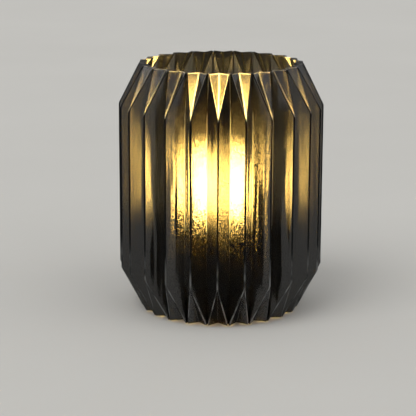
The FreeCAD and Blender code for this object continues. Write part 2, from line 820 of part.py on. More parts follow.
def make_bulb_screw_shell():
    rings = screw_rings("bulb_thread_radius", BULB_SHELL_ROOT, BULB_SHELL_BOTTOM, BULB_SHELL_TOP,
                        "edison_pitch")
    turned_part("bulb_screw_shell", rings + [
        (BULB_SHELL_ROOT, BULB_SHELL_TOP), (BULB_SHELL_INSIDE, BULB_SHELL_TOP),
        (BULB_SHELL_INSIDE, BULB_SHELL_BOTTOM),
    ])


def make_bulb_housing():
    turned_part("bulb_housing", [
        (BULB_SHELL_FIT, SPIGOT_BOTTOM), (BULB_SHELL_FIT, BULB_SHELL_TOP),
        ("housing_foot_radius", BULB_SHELL_TOP), ("housing_radius", HOUSING_TOP),
        (HOUSING_INSIDE, HOUSING_TOP), (HOUSING_INSIDE, LED_BOARD_BOTTOM),
        (f"{HOUSING_INSIDE} - ledge_width", LED_BOARD_BOTTOM),
        ("housing_foot_radius - housing_wall", HOUSING_FLOOR), (SPIGOT_INSIDE, HOUSING_FLOOR),
        (SPIGOT_INSIDE, SPIGOT_BOTTOM),
    ])


def make_led_board():
    radius = f"{HOUSING_INSIDE} - bulb_fit_clearance"
    turned_part("led_board", [
        (AXIS, LED_BOARD_BOTTOM), (radius, LED_BOARD_BOTTOM),
        (radius, LED_BOARD_TOP), (AXIS, LED_BOARD_TOP),
    ])


def make_led_chips():
    body = new_body("led_chips")
    chip = new_sketch(body, "XY_Plane", "Chip", level=LED_BOARD_TOP)
    near, far = "chip_circle_radius - 0.5*chip_size", "chip_circle_radius + 0.5*chip_size"
    draw_outline(chip, [
        ("- 0.5*chip_size", near), ("0.5*chip_size", near),
        ("0.5*chip_size", far), ("- 0.5*chip_size", far),
    ])
    repeat_round(body, pad(body, chip, "chip_height"), "chip_count")


def make_driver():
    board = box("DriverBoard", "driver_width", "driver_thickness",
                f"{LED_BOARD_BOTTOM} {opposite(DRIVER_BOTTOM)}")
    shift(board, x="- 0.5*driver_width", y="- 0.5*driver_thickness", z=DRIVER_BOTTOM)
    keep(board, "driver_board")
    capacitor = cylinder("DriverCapacitor", "capacitor_radius", "capacitor_height")
    shift(capacitor, y="0.5*driver_thickness + capacitor_gap + capacitor_radius",
          z=f"{HOUSING_FLOOR} + capacitor_gap")
    keep(capacitor, "driver_capacitor")


def globe_side(sketch, radius, foot):
    """An arc from the top of the globe, and the straight line tangent to it down to the foot."""
    centre = place(AXIS, GLOBE_CENTRE)
    foot_place = place(foot, HOUSING_TOP)
    reach = foot_place - centre
    touch_angle = math.atan2(reach.y, reach.x) + math.acos(value(radius) / reach.Length)
    touch = centre + FreeCAD.Vector(math.cos(touch_angle), math.sin(touch_angle), 0) * value(radius)
    circle = Part.Circle(centre, FreeCAD.Vector(0, 0, 1), value(radius))
    arc = sketch.addGeometry(Part.ArcOfCircle(circle, touch_angle, math.pi / 2))
    side = sketch.addGeometry(Part.LineSegment(touch, foot_place))
    sketch.addConstraint(Sketcher.Constraint("Tangent", arc, 1, side, 1))
    sketch.addConstraint(Sketcher.Constraint("PointOnObject", arc, 2, -2))
    constrain(sketch, "Radius", arc, formula=radius)
    pin(sketch, arc, 3, AXIS, GLOBE_CENTRE)
    pin(sketch, side, 2, foot, HOUSING_TOP)
    return arc, side


def join(sketch, one, one_end, other, other_end):
    """A straight edge between the ends of two edges."""
    edge = sketch.addGeometry(
        Part.LineSegment(sketch.getPoint(one, one_end), sketch.getPoint(other, other_end)))
    sketch.addConstraint(Sketcher.Constraint("Coincident", edge, 1, one, one_end))
    sketch.addConstraint(Sketcher.Constraint("Coincident", edge, 2, other, other_end))


def make_bulb_globe():
    """An opal shell with a round top and straight sides down to the housing."""
    body = new_body("bulb_globe")
    profile = new_sketch(body, "XZ_Plane", "Profile")
    outer_arc, outer_side = globe_side(profile, "globe_radius", "housing_radius")
    inner_arc, inner_side = globe_side(profile, "globe_radius - globe_wall", "housing_radius - globe_wall")
    join(profile, outer_side, 2, inner_side, 2)
    join(profile, outer_arc, 2, inner_arc, 2)
    revolve(body, profile)


# ---------------------------------------------------------------- checking and writing

def check():
    """Stop if any object has failed or any sub-part is empty or not a valid shape."""
    for node in doc.Objects:
        if "Invalid" in node.State or "Error" in node.State:
            raise RuntimeError(f"{node.Name} is in state {node.State}")
    for node in subparts:
        if node.Shape.isNull() or not node.Shape.isValid() or not node.Shape.Solids:
            raise RuntimeError(f"{node.Label} has no valid solid")


def write():
    os.makedirs("parts", exist_ok=True)
    for node in subparts:
        node.Shape.exportStep(f"parts/{node.Label}.step")
        print(node.Label, len(node.Shape.Solids), round(node.Shape.Volume, 1))


def main():
    make_base_pad()
    make_base_plate()
    make_cable_grommet()
    make_threaded_tube()
    make_lock_washer()
    make_lock_nut()
    make_stem_sleeve()
    make_holder_cap()
    make_set_screw()
    make_holder_insert()
    make_terminal_screws()
    make_centre_contact()
    make_side_contact()
    make_thread_sleeve()
    make_holder_shell()
    make_shade_ring()
    make_carrier_hub()
    make_carrier_arms()
    make_carrier_ring()
    make_shade()
    make_bulb_contact()
    make_bulb_insulator()
    make_bulb_screw_shell()
    make_bulb_housing()
    make_led_board()
    make_led_chips()
    make_driver()
    make_bulb_globe()
    doc.recompute()
    check()
    write()


main()
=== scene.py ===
import json
import math
import random

import bpy
from mathutils import Matrix, Vector, noise


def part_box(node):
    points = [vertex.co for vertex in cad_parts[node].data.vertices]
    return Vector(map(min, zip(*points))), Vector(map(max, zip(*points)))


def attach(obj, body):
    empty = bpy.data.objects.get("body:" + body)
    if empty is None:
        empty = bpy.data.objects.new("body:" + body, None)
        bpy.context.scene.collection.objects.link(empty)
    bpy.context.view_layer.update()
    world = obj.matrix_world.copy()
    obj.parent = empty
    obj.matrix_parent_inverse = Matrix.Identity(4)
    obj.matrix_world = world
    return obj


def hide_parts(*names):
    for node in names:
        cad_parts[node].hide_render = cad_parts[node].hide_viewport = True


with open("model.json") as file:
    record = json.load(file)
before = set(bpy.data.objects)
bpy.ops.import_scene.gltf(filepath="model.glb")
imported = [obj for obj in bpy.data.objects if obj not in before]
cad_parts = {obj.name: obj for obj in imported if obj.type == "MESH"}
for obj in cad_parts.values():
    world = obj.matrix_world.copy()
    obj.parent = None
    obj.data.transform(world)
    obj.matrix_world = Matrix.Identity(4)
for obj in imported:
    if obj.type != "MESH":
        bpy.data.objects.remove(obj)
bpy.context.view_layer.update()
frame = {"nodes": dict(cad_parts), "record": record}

# A pleated table lamp of dark smoked film, lit from inside by one opal bulb. Lengths are in metres and
# angles in degrees. The lamp's axis is +Z, and the front, where one ridge of the shade lies, faces -Y.

MM = 0.001

# The folded film, as the frame holds it: ridges and valleys of the barrel, then the corners, tips and
# pinches in which each pleat ends at a rim.
PLEATS = 24
STEP = 360 / PLEATS
RIDGE_RADIUS = 100.0 * MM
VALLEY_RADIUS = 82.6 * MM
CORNER_RADIUS = {"lower": 78.3 * MM, "upper": 80.2 * MM}
TIP_RADIUS = {"lower": 69.2 * MM, "upper": 71.3 * MM}
PINCH_RADIUS = {"lower": 71.5 * MM, "upper": 73.0 * MM}
PINCH_GAP = 2.0 * MM
FOLD_HEIGHT = {"lower": 42.1 * MM, "upper": 40.7 * MM}
FILM = 0.42 * MM
LOWER_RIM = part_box("shade_panel_front")[0].z
UPPER_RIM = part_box("shade_panel_front")[1].z
LOWER_SHOULDER = LOWER_RIM + FOLD_HEIGHT["lower"]
UPPER_SHOULDER = UPPER_RIM - FOLD_HEIGHT["upper"]

# How strongly the film bends light, and the sizes of its fine level grooves, of its coarser grain, of its
# upright draw lines and of the waves in its coat.
FILM_INDEX = 1.6
GROOVE_SIZE = 0.13 * MM
GRAIN_SIZE = 1.3 * MM
DRAW_SIZE = 4.5 * MM
COAT_SIZE = 26 * MM

# How steeply they lean, as slopes, how far the folded-in ends of the pleats lean, and how far the two
# halves of the front one turn away from each other.
GROOVE_SLOPE = 1.25
GRAIN_SLOPE = 1.7
DRAW_SLOPE = 0.8
FOLD_LEAN = 0.6
FRONT_TURN = 0.22

# Pairs of heights. Painted shade: the film's tint is darkened from its foot up to where it clears, and again
# towards the shade's top. Painted highlights: the outward creases are painted pale at the foot, and the
# upper cut edge is painted bright.
PAINTED_SHADE_FOOT = (LOWER_SHOULDER + 44 * MM, LOWER_SHOULDER + 76 * MM)
PAINTED_SHADE_TOP = (UPPER_SHOULDER - 34 * MM, UPPER_SHOULDER - 12 * MM)
PAINTED_HIGHLIGHT_FOOT = (LOWER_SHOULDER, LOWER_SHOULDER + 30 * MM)
CUT_EDGE_HIGHLIGHT = (UPPER_RIM - 1.0 * MM, UPPER_RIM - 0.4 * MM)

# Tones of the film under a clear, a middling and a dense coat, where the dense tone also serves as painted
# shade, and of its creases, which carry painted highlights and painted shade.
CLEAR_FILM = (0.30, 0.285, 0.24)
COATED_FILM = (0.15, 0.138, 0.106)
DENSE_FILM_AND_SHADE = (0.036, 0.032, 0.023)
HAZY_CREASE_HIGHLIGHT = (0.42, 0.39, 0.28, 1)
CLEAR_CREASE_HIGHLIGHT = (0.9, 0.88, 0.8, 1)
PAINTED_SHADE_CREASE = (0.005, 0.005, 0.005, 1)
PAINTED_HIGHLIGHT_CREASE = (0.15, 0.15, 0.145, 1)

# How far a crease's mark reaches, the least distance between two creases, and how far past the shoulder
# the painted highlights at the points of the front triangles reach.
CREASE_WIDTH = 0.6 * MM
CREASE_GAP = 0.4 * MM
HIGHLIGHT_POINT_REACH = 4 * MM

# Waves of the film in and out of its folds, each by its fineness and its height, and how far the film is
# set back so that no wave reaches past the folded sheet.
WAVES = ((38, 0.22 * MM), (110, 0.07 * MM))
SETBACK = 0.15 * MM

# The light of the bulb, and how much of its full glow is left at the lower end of the globe.
BULB_LIGHT = (1.0, 0.665, 0.19, 1)
BULB_GLOW = 80.0
LOW_GLOW = 0.12

# The joints of the two panels, counted in pleats from the front.
FIRST_JOINT = 1 - PLEATS // 4
SECOND_JOINT = FIRST_JOINT + PLEATS // 2


# ---------------------------------------------------------------- shader building

UPRIGHT = (0.0, 0.0, 1.0)


class Shader:
    """A node material built up from short calls."""

    def __init__(self, name):
        self.material = bpy.data.materials.new(name)
        self.material.use_nodes = True
        self.tree = self.material.node_tree
        self.surface = self.tree.nodes["Principled BSDF"]
        self.coordinates = self.tree.nodes.new("ShaderNodeTexCoord").outputs["Object"]

    def node(self, kind, **settings):
        made = self.tree.nodes.new("ShaderNode" + kind)
        for name, setting in settings.items():
            setattr(made, name, setting)
        return made

    def feed(self, socket, source):
        if isinstance(source, bpy.types.NodeSocket):
            self.tree.links.new(source, socket)
        else:
            socket.default_value = source

    def set(self, **inputs):
        """Set or link inputs of the surface, such as Base_Color or Roughness."""
        for name, source in inputs.items():
            self.feed(self.surface.inputs[name.replace("_", " ")], source)
        return self

    def stretched(self, stretch):
        mapping = self.node("Mapping")
        self.feed(mapping.inputs["Vector"], self.coordinates)
        mapping.inputs["Scale"].default_value = stretch
        return mapping.outputs["Vector"]

    def noise(self, size, detail=3.0, stretch=(1, 1, 1)):
        """Smooth noise whose features are about a size across, in metres."""
        made = self.node("TexNoise")
        self.feed(made.inputs["Vector"], self.stretched(stretch))
        made.inputs["Scale"].default_value = 1 / size
        made.inputs["Detail"].default_value = detail
        made.inputs["Roughness"].default_value = 0.55
        return made.outputs["Fac"]

    def swing(self, size, detail, stretch=(1, 1, 1)):
        """Noise that swings about zero."""
        return self.math("SUBTRACT", self.noise(size, detail, stretch), 0.5)

    def spread(self, source, low, high, to_low, to_high):
        """Map a value from one range on another, held at both ends."""
        made = self.node("MapRange")
        for name, number in zip(("Value", "From Min", "From Max", "To Min", "To Max"),
                                (source, low, high, to_low, to_high)):
            self.feed(made.inputs[name], number)
        return made.outputs["Result"]

    def ramp(self, source, *stops):
        """Colours along a value; each stop is a place and a colour."""
        made = self.node("ValToRGB")
        band = made.color_ramp
        while len(band.elements) < len(stops):
            band.elements.new(1.0)
        for element, (place, colour) in zip(band.elements, stops):
            element.position = place
            element.color = (*colour, 1.0)
        self.feed(made.inputs["Fac"], source)
        return made.outputs["Color"]

    def math(self, operation, *values):
        made = self.node("Math", operation=operation)
        for socket, source in zip(made.inputs, values):
            self.feed(socket, source)
        return made.outputs["Value"]

    def blend(self, share, first, second):
        """A mix of two colours."""
        made = self.node("Mix", data_type="RGBA")
        self.feed(made.inputs["Factor"], share)
        self.feed(made.inputs[6], first)
        self.feed(made.inputs[7], second)
        return made.outputs[2]

    def attribute(self, name):
        return self.node("Attribute", attribute_name=name).outputs["Fac"]

    def height(self):
        """The height above the table, in metres."""
        split = self.node("SeparateXYZ")
        self.feed(split.inputs[0], self.coordinates)
        return split.outputs["Z"]

    def vector(self, operation, first, second):
        made = self.node("VectorMath", operation=operation)
        self.feed(made.inputs[0], first)
        self.feed(made.inputs[1], second)
        return made.outputs["Vector"]

    def scaled(self, vector, size):
        made = self.node("VectorMath", operation="SCALE")
        self.feed(made.inputs[0], vector)
        self.feed(made.inputs["Scale"], size)
        return made.outputs["Vector"]

    def outward(self):
        """1 where a surface is met from outside and -1 where it is met from within its solid."""
        return self.math("MULTIPLY_ADD", self.node("NewGeometry").outputs["Backfacing"], -2.0, 1.0)

    def leaning(self, up, across):
        """The surface's normal, leaned upwards and level across the face by slopes."""
        normal = self.node("NewGeometry").outputs["Normal"]
        level = self.vector("CROSS_PRODUCT", normal, UPRIGHT)
        leaned = self.vector("ADD", normal, self.scaled(UPRIGHT, up))
        leaned = self.vector("ADD", leaned, self.scaled(level, across))
        return self.vector("NORMALIZE", leaned, UPRIGHT)

    def bump(self, source, depth, strength):
        """Relief of a depth in metres."""
        made = self.node("Bump")
        made.inputs["Strength"].default_value = strength
        made.inputs["Distance"].default_value = depth
        self.feed(made.inputs["Height"], source)
        return made.outputs["Normal"]


# ---------------------------------------------------------------- materials

def film_relief(s, rough):
    """The leaning of the film: grooves smear the light up and down, and the rest steers it."""
    grooves = s.math("MULTIPLY", s.swing(GROOVE_SIZE, detail=0), GROOVE_SLOPE)
    wedge = s.math("MULTIPLY_ADD", s.attribute("fold"), FOLD_LEAN, rough)
    draw_lines = s.math("MULTIPLY", s.swing(DRAW_SIZE, detail=1, stretch=(1, 1, 0.04)), DRAW_SLOPE)
    draw = s.math("MULTIPLY", s.attribute("draw"), draw_lines)
    across = s.math("ADD", draw, s.attribute("turn"))
    return s.leaning(s.math("MULTIPLY_ADD", wedge, s.outward(), grooves),
                     s.math("MULTIPLY", across, s.outward()))


def film_coat_and_shade(s, clear, high, rough):
    """How densely the film is coated, with painted shade: dense at its foot, of its own density at its top,
    and wavy.
    """
    coat_and_shade = s.attribute("coat_and_shade")
    denser = s.math("MULTIPLY", s.math("SUBTRACT", s.attribute("top"), coat_and_shade), high)
    coat_and_shade = s.spread(clear, 0.0, 1.0, 1.0, s.math("SUBTRACT", s.math("ADD", coat_and_shade, denser), 0.1))
    waves = s.noise(COAT_SIZE, detail=2, stretch=(1, 1, 0.4))
    return s.math("MULTIPLY_ADD", waves, 0.2, s.math("MULTIPLY_ADD", rough, 0.4, coat_and_shade))


def film_material():
    """Smoked film with a grain. Painted shade darkens its outward creases, its foot, its top and some faces;
    painted highlights brighten its inward creases, its upper cut edge and its outward creases at the foot.
    """
    s = Shader("smoked_film")
    fold = s.attribute("fold")
    # Painted shade: clear rises out of the darkened foot, and high rises towards the darkened top.
    clear = s.spread(s.height(), *PAINTED_SHADE_FOOT, 0.0, 1.0)
    high = s.spread(s.height(), *PAINTED_SHADE_TOP, 0.0, 1.0)
    grain = s.swing(GRAIN_SIZE, detail=1)
    rough = s.math("MULTIPLY", s.attribute("grain"), s.math("MULTIPLY", grain, GRAIN_SLOPE))
    rough = s.math("MULTIPLY", rough, s.spread(high, 0, 1, 1, 0.3))

    # Painted shade along the outward creases. Painted highlights along the inward creases and the upper cut
    # edge of the folded-in ends, fading where the foot is shaded.
    ridge = s.spread(s.attribute("ridge"), 0.0, 0.35, 0.0, 1.0)
    cut_edge_highlight = s.spread(s.height(), *CUT_EDGE_HIGHLIGHT, 0.0, 1.0)
    painted_highlight = s.math("MAXIMUM", s.attribute("valley"), s.math("MULTIPLY", cut_edge_highlight, fold))
    painted_highlight = s.math("MULTIPLY", painted_highlight, s.spread(ridge, 0, 1, 1, 0))
    painted_highlight = s.math("MULTIPLY", painted_highlight, s.spread(clear, 0, 1, 0.15, 1))
    # Painted highlights: the outward creases are painted pale towards the foot, broken up by noise.
    highlight_breakup = s.spread(s.noise(14 * MM, detail=1), 0.4, 0.6, 0.2, 1.0)
    foot_highlight = s.math("MULTIPLY", highlight_breakup, s.spread(s.height(), *PAINTED_HIGHLIGHT_FOOT, 1.0, 0.0))

    tone = s.ramp(film_coat_and_shade(s, clear, high, rough), (0.0, CLEAR_FILM), (0.5, COATED_FILM), (1.0, DENSE_FILM_AND_SHADE))
    tone = s.blend(painted_highlight, tone, s.blend(fold, HAZY_CREASE_HIGHLIGHT, CLEAR_CREASE_HIGHLIGHT))
    tone = s.blend(ridge, tone, s.blend(foot_highlight, PAINTED_SHADE_CREASE, PAINTED_HIGHLIGHT_CREASE))
    haze = s.math("MULTIPLY", painted_highlight, s.spread(fold, 0, 1, 0.35, 0.22))
    s.set(Base_Color=tone, Roughness=s.math("ADD", haze, s.spread(grain, -0.2, 0.2, 0.10, 0.17)),
          Transmission_Weight=s.spread(ridge, 0, 1, 0.97, 0.0), IOR=FILM_INDEX,
          Specular_IOR_Level=s.spread(ridge, 0, 1, 0.36, 0.05), Normal=film_relief(s, rough))
    return s.material


def opal_material():
    """The lit opal shell of the bulb, brightest round its middle."""
    s = Shader("opal")
    low, high = [corner.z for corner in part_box("bulb_globe")]
    cloud = s.noise(9 * MM, detail=2)
    rise = s.spread(s.height(), low, (low + high) / 2, LOW_GLOW, 1.0)
    glow = s.math("MULTIPLY", rise, s.spread(cloud, 0.2, 0.8, 0.95, 1.05))
    glow = s.math("MULTIPLY", glow, BULB_GLOW)
    s.set(Base_Color=(0.85, 0.83, 0.78, 1), Roughness=s.spread(cloud, 0.3, 0.7, 0.3, 0.42),
          Emission_Color=BULB_LIGHT, Emission_Strength=glow)
    return s.material


def plain_material(name, dark, light, size, gloss, relief, metallic=0.0, stretch=(1, 1, 1), **inputs):
    """A surface whose tone, gloss and relief all vary with noise of one size."""
    s = Shader(name)
    mottle = s.noise(size * 6, detail=3)
    grain = s.noise(size, detail=4, stretch=stretch)
    s.set(Base_Color=s.ramp(mottle, (0.3, dark), (0.7, light)),
          Roughness=s.spread(grain, 0.25, 0.75, gloss - 0.07, gloss + 0.07),
          Metallic=metallic, Normal=s.bump(grain, relief, 0.7), **inputs)
    return s.material


def make_materials():
    return {
        "smoked_film": film_material(),
        "opal": opal_material(),
        "seam_tape": plain_material("seam_tape", (0.30, 0.28, 0.22), (0.42, 0.39, 0.31), 1.5 * MM, 0.2,
                                    0.05 * MM, Transmission_Weight=0.97, IOR=FILM_INDEX),
        "black_rubber": plain_material("black_rubber", (0.018, 0.018, 0.018), (0.035, 0.034, 0.033),
                                       0.9 * MM, 0.78, 0.12 * MM),
        "black_steel": plain_material("black_steel", (0.016, 0.016, 0.017), (0.028, 0.028, 0.029),
                                      0.8 * MM, 0.42, 0.06 * MM),
        "zinc_steel": plain_material("zinc_steel", (0.55, 0.56, 0.58), (0.72, 0.73, 0.75), 0.7 * MM, 0.34,
                                     0.03 * MM, metallic=1.0),
        "black_plastic": plain_material("black_plastic", (0.012, 0.012, 0.012), (0.022, 0.022, 0.022),
                                        0.5 * MM, 0.38, 0.03 * MM),
        "white_ceramic": plain_material("white_ceramic", (0.74, 0.72, 0.66), (0.82, 0.80, 0.75), 1.2 * MM,
                                        0.25, 0.03 * MM),
        "contact_brass": plain_material("contact_brass", (0.70, 0.48, 0.20), (0.83, 0.61, 0.28), 0.8 * MM,
                                        0.3, 0.02 * MM, metallic=1.0),
        "nickel": plain_material("nickel", (0.60, 0.58, 0.54), (0.74, 0.72, 0.68), 0.6 * MM, 0.24,
                                 0.02 * MM, metallic=1.0, stretch=(1, 1, 8)),
        "insulator_glass": plain_material("insulator_glass", (0.01, 0.01, 0.02), (0.03, 0.03, 0.05),
                                          1.0 * MM, 0.15, 0.02 * MM),
        "white_plastic": plain_material("white_plastic", (0.74, 0.73, 0.70), (0.82, 0.81, 0.78), 0.6 * MM,
                                        0.4, 0.02 * MM),
        "board_white": plain_material("board_white", (0.70, 0.70, 0.68), (0.80, 0.80, 0.78), 0.8 * MM,
                                      0.45, 0.02 * MM),
        "phosphor": plain_material("phosphor", (0.75, 0.55, 0.10), (0.85, 0.66, 0.18), 0.5 * MM, 0.5,
                                   0.02 * MM),
        "board_green": plain_material("board_green", (0.02, 0.12, 0.05), (0.03, 0.18, 0.08), 0.8 * MM, 0.4,
                                      0.03 * MM),
    }


def dress_nodes(materials):
    """Give every node that stays its procedural material."""
    for subpart in frame["record"]["subparts"]:
        node = frame["nodes"][subpart["node"]]
        node.data.materials.clear()
        node.data.materials.append(materials[subpart["material_slot"]])


# ---------------------------------------------------------------- folded film

def polar(radius, degrees):
    """A level point at an azimuth counted from the front of the lamp."""
    angle = math.radians(degrees)
    return Vector((radius * math.sin(angle), -radius * math.cos(angle)))


def soft_start(distance, softness=1.0 * MM):
    """A distance past a shoulder, eased so that the fold starts with a small bend."""
    if distance <= -softness:
        return 0.0
    if distance >= softness:
        return distance
    return (distance + softness) ** 2 / (4 * softness)


def fold_share(height):
    """Which end of the shade a height lies at, and how far it is from the shoulder to the rim."""
    if height > (LOWER_SHOULDER + UPPER_SHOULDER) / 2:
        return "upper", soft_start(height - UPPER_SHOULDER) / FOLD_HEIGHT["upper"]
    return "lower", soft_start(LOWER_SHOULDER - height) / FOLD_HEIGHT["lower"]


# Some faces round the front, by pleat and side: how densely they are coated along the barrel and at its
# top, from 0 for clear to 1, how far they turn, and how strong their draw lines and their grain are. The two
# coats are painted shade that sets how brightly each face lets the glow through.
FACES = {(0, -1): (0.72, 1.0, 0.0, 0.1, 0.1), (0, 1): (0.85, 1.0, 0.0, 0.2, 1.0),
         (-1, 1): (0.12, 1.0, 0.0, 0.15, 0.9), (1, -1): (0.12, 1.0, 0.0, 0.15, 0.9),
         (-2, 1): (0.72, 0.9, 0.1, 0.4, 0.8), (2, -1): (0.92, 0.9, -0.07, 0.5, 1.0),
         (-3, 1): (0.2, 0.5, -0.1, 0.7, 0.2), (3, -1): (0.2, 0.5, 0.1, 0.9, 0.4),
         (-4, 1): (0.7, 0.65, 0.0, 0.2, 0.1), (4, -1): (0.7, 0.65, 0.0, 0.2, 0.2),
         (-5, 1): (0.97, 0.9, 0.0, 0.2, 0.2), (5, -1): (0.97, 0.9, 0.0, 0.2, 0.2),
         (-6, 1): (0.3, 0.6, 0.0, 0.2, 0.2), (6, -1): (0.3, 0.6, 0.0, 0.2, 0.2)}

# How densely the folded-in ends of the pleats are coated, from the front one outwards and then all others,
# how much denser they are at the rim, and how strong their draw lines and their grain are. The coats and the
# rim's extra density are painted shade that dims the glow through these ends.
FOLD_COATS_AND_SHADE = (0.8, 0.65, 0.75, 0.6, 0.3, 1.0)
RIM_SHADE = 0.4
FOLD_DRAW = 0.3
FOLD_GRAIN = 0.8


class Unevenness:
    """Small differences between the pleats, as hand folding leaves them."""

    def __init__(self, seed):
        draw = random.Random(seed)
        self.turn = [draw.uniform(-0.22, 0.22) for _ in range(PLEATS)]
        self.tip = {end: [draw.uniform(-0.9, 0.5) * MM for _ in range(PLEATS)] for end in ("lower", "upper")}
        self.corner = {end: [draw.uniform(-0.6, 0.0) * MM for _ in range(PLEATS)]
                       for end in ("lower", "upper")}
        self.pinch = {end: [draw.uniform(-0.7, 0.7) * MM for _ in range(PLEATS)]
                      for end in ("lower", "upper")}
        # Each face's coat at its top, 0.62, is painted shade that dims the glow towards the rim.
        self.face = {(pleat, side): (draw.uniform(0.4, 0.6), 0.62, 0.0, draw.uniform(0.1, 0.6),
                                     draw.uniform(0.1, 0.6))
                     for pleat in range(PLEATS) for side in (-1, 1)}
        for (pleat, side), look in FACES.items():
            self.face[pleat % PLEATS, side] = look


UNEVEN = Unevenness(seed=7)


def half_pleat_corners(pleat, side, height):
    """The valley, gusset, mountain and middle of half a pleat at a height, from the valley inwards."""
    end, share = fold_share(height)
    index = pleat % PLEATS
    valley_index = (pleat + (1 if side > 0 else 0)) % PLEATS
    middle = pleat * STEP + UNEVEN.turn[index] * share
    valley_at = pleat * STEP + side * STEP / 2
    corner_radius = CORNER_RADIUS[end] + UNEVEN.corner[end][valley_index]
    half_gap = math.degrees(math.asin(0.5 * PINCH_GAP / corner_radius))
    valley, ridge = polar(VALLEY_RADIUS, valley_at), polar(RIDGE_RADIUS, pleat * STEP)
    pinch = polar(PINCH_RADIUS[end] + UNEVEN.pinch[end][valley_index], valley_at)
    corner = polar(corner_radius, valley_at - side * half_gap)
    tip = polar(TIP_RADIUS[end] + UNEVEN.tip[end][index], middle)
    return (valley.lerp(pinch, share), valley.lerp(corner, share), ridge.lerp(corner, share),
            ridge.lerp(tip, share))


def at_least(point, neighbour, towards, gap):
    """Move a point away from a neighbour that it has run into."""
    if (point - neighbour).length >= gap:
        return point
    return neighbour + (towards - neighbour).normalized() * gap


# The marks at each point of the film: outward creases painted dark as painted shade, inward creases painted
# bright as painted highlights, the faces that are folded in, and what FACES gives for each face.
MARKS = ("ridge", "valley", "fold", "coat_and_shade", "top", "turn", "draw", "grain")


def fade(distance):
    """How much of a crease's mark is left at a distance from it."""
    return min(max(2 - distance / CREASE_WIDTH, 0.0), 1.0)


class Profile:
    """Points along a folded line at one height, each with its marks."""

    def __init__(self):
        self.points = []
        self.marks = {kind: [] for kind in MARKS}

    def add(self, point, *marks):
        self.points.append(point)
        for kind, mark in zip(MARKS, marks):
            self.marks[kind].append(mark)

    def corner(self, before, corner, after, *marks):
        """The middle of a crease, drawn a little towards both of its faces."""
        point = corner
        if before is not None and after is not None:
            left = corner.lerp(before, min(CREASE_WIDTH / (before - corner).length, 0.2))
            right = corner.lerp(after, min(CREASE_WIDTH / (after - corner).length, 0.2))
            point = corner * 0.5 + left * 0.25 + right * 0.25
        self.add(point, *marks)

    def face(self, first, last, count, first_marks, last_marks, *face_marks):
        """The points of a face between two creases, two of them close beside each crease."""
        length = (last - first).length
        near = min(CREASE_WIDTH / length, 0.2)
        folded_in = face_marks[0] > 0
        shares = [near, 2 * near]
        shares += [2 * near + (1 - 4 * near) * number / (count + 1) for number in range(1, count + 1)]
        shares += [1 - 2 * near, 1 - near]
        for share in shares:
            after_first, before_last = fade(share * length), fade((1 - share) * length)
            ridge, valley = [max(mark * after_first, other * before_last)
                             for mark, other in zip(first_marks, last_marks)]
            self.add(first.lerp(last, share), 0.0 if folded_in else ridge, valley, *face_marks)


def folded_marks(pleat, side, lean, share):
    """The marks of a folded-in face, whose coat, a painted shade, gets denser towards the rim."""
    coat_and_shade = FOLD_COATS_AND_SHADE[min(abs(pleat), len(FOLD_COATS_AND_SHADE) - 1)] + RIM_SHADE * share ** 2
    turn = side * FRONT_TURN if pleat == 0 else 0.0
    return (lean, coat_and_shade, coat_and_shade, turn, FOLD_DRAW, FOLD_GRAIN * lean)


def panel_corners(first, last, height):
    """The creases along a whole panel at a height, each with its marks and those of the face after it."""
    share = fold_share(height)[1]
    folded = share > 0.01
    at_shoulder = abs(height - UPPER_SHOULDER) < HIGHLIGHT_POINT_REACH
    plain = (0.0, 0.0)
    corners = []
    for pleat in range(first, last):
        lean = max(math.cos(math.radians(pleat * STEP)), 0.0)
        # Valley creases carry a painted highlight all along the barrel, and in the folds most on the pleats
        # that face the front.
        valley_marks = (0.0, lean if folded else 1.0)
        # Middle creases are painted dark as painted shade, except on folded-in ends that face the front,
        # where they carry a painted highlight.
        middle_marks = (0.0 if folded and lean > 0 else 1.0, lean if folded else 0.0)
        # At the shoulders of the front pleats the middle crease carries only a painted highlight.
        if at_shoulder and abs(pleat) <= 1:
            middle_marks = (0.0, 1.0)
        for side in (-1, 1):
            valley, gusset, mountain, middle = half_pleat_corners(pleat, side, height)
            gusset = at_least(gusset, valley, mountain, CREASE_GAP)
            mountain = at_least(mountain, middle, gusset, CREASE_GAP)
            mountain = at_least(mountain, gusset, middle, CREASE_GAP)
            # Mountain creases are painted dark as painted shade; in the folds of the front pleats their
            # turned-in side carries a painted highlight.
            mountain_marks = (1.0, lean if folded and pleat * side <= 0 else 0.0)
            wide = turned_in = (0.0, *UNEVEN.face[pleat % PLEATS, side])
            if folded:
                turned_in = folded_marks(pleat, side, lean, share)
            if side < 0:
                corners += [(valley, valley_marks, wide, 1), (gusset, plain, wide, 4),
                            (mountain, mountain_marks, turned_in, 2)]
                continue
            corners += [(middle, middle_marks, turned_in, 2), (mountain, mountain_marks, wide, 4),
                        (gusset, plain, wide, 1)]
    corners.append((half_pleat_corners(last - 1, 1, height)[0], valley_marks, wide, 0))
    return corners


def panel_profile(first, last, height):
    """The middle of the film along a whole panel at a height."""
    corners = panel_corners(first, last, height)
    profile = Profile()
    for index, (corner, marks, face_marks, count) in enumerate(corners):
        before = corners[index - 1][0] if index else None
        after = corners[index + 1][0] if index + 1 < len(corners) else None
        profile.corner(before, corner, after, *marks, *face_marks)
        if after is not None:
            profile.face(corner, after, count, marks, corners[index + 1][1], *face_marks)
    return profile


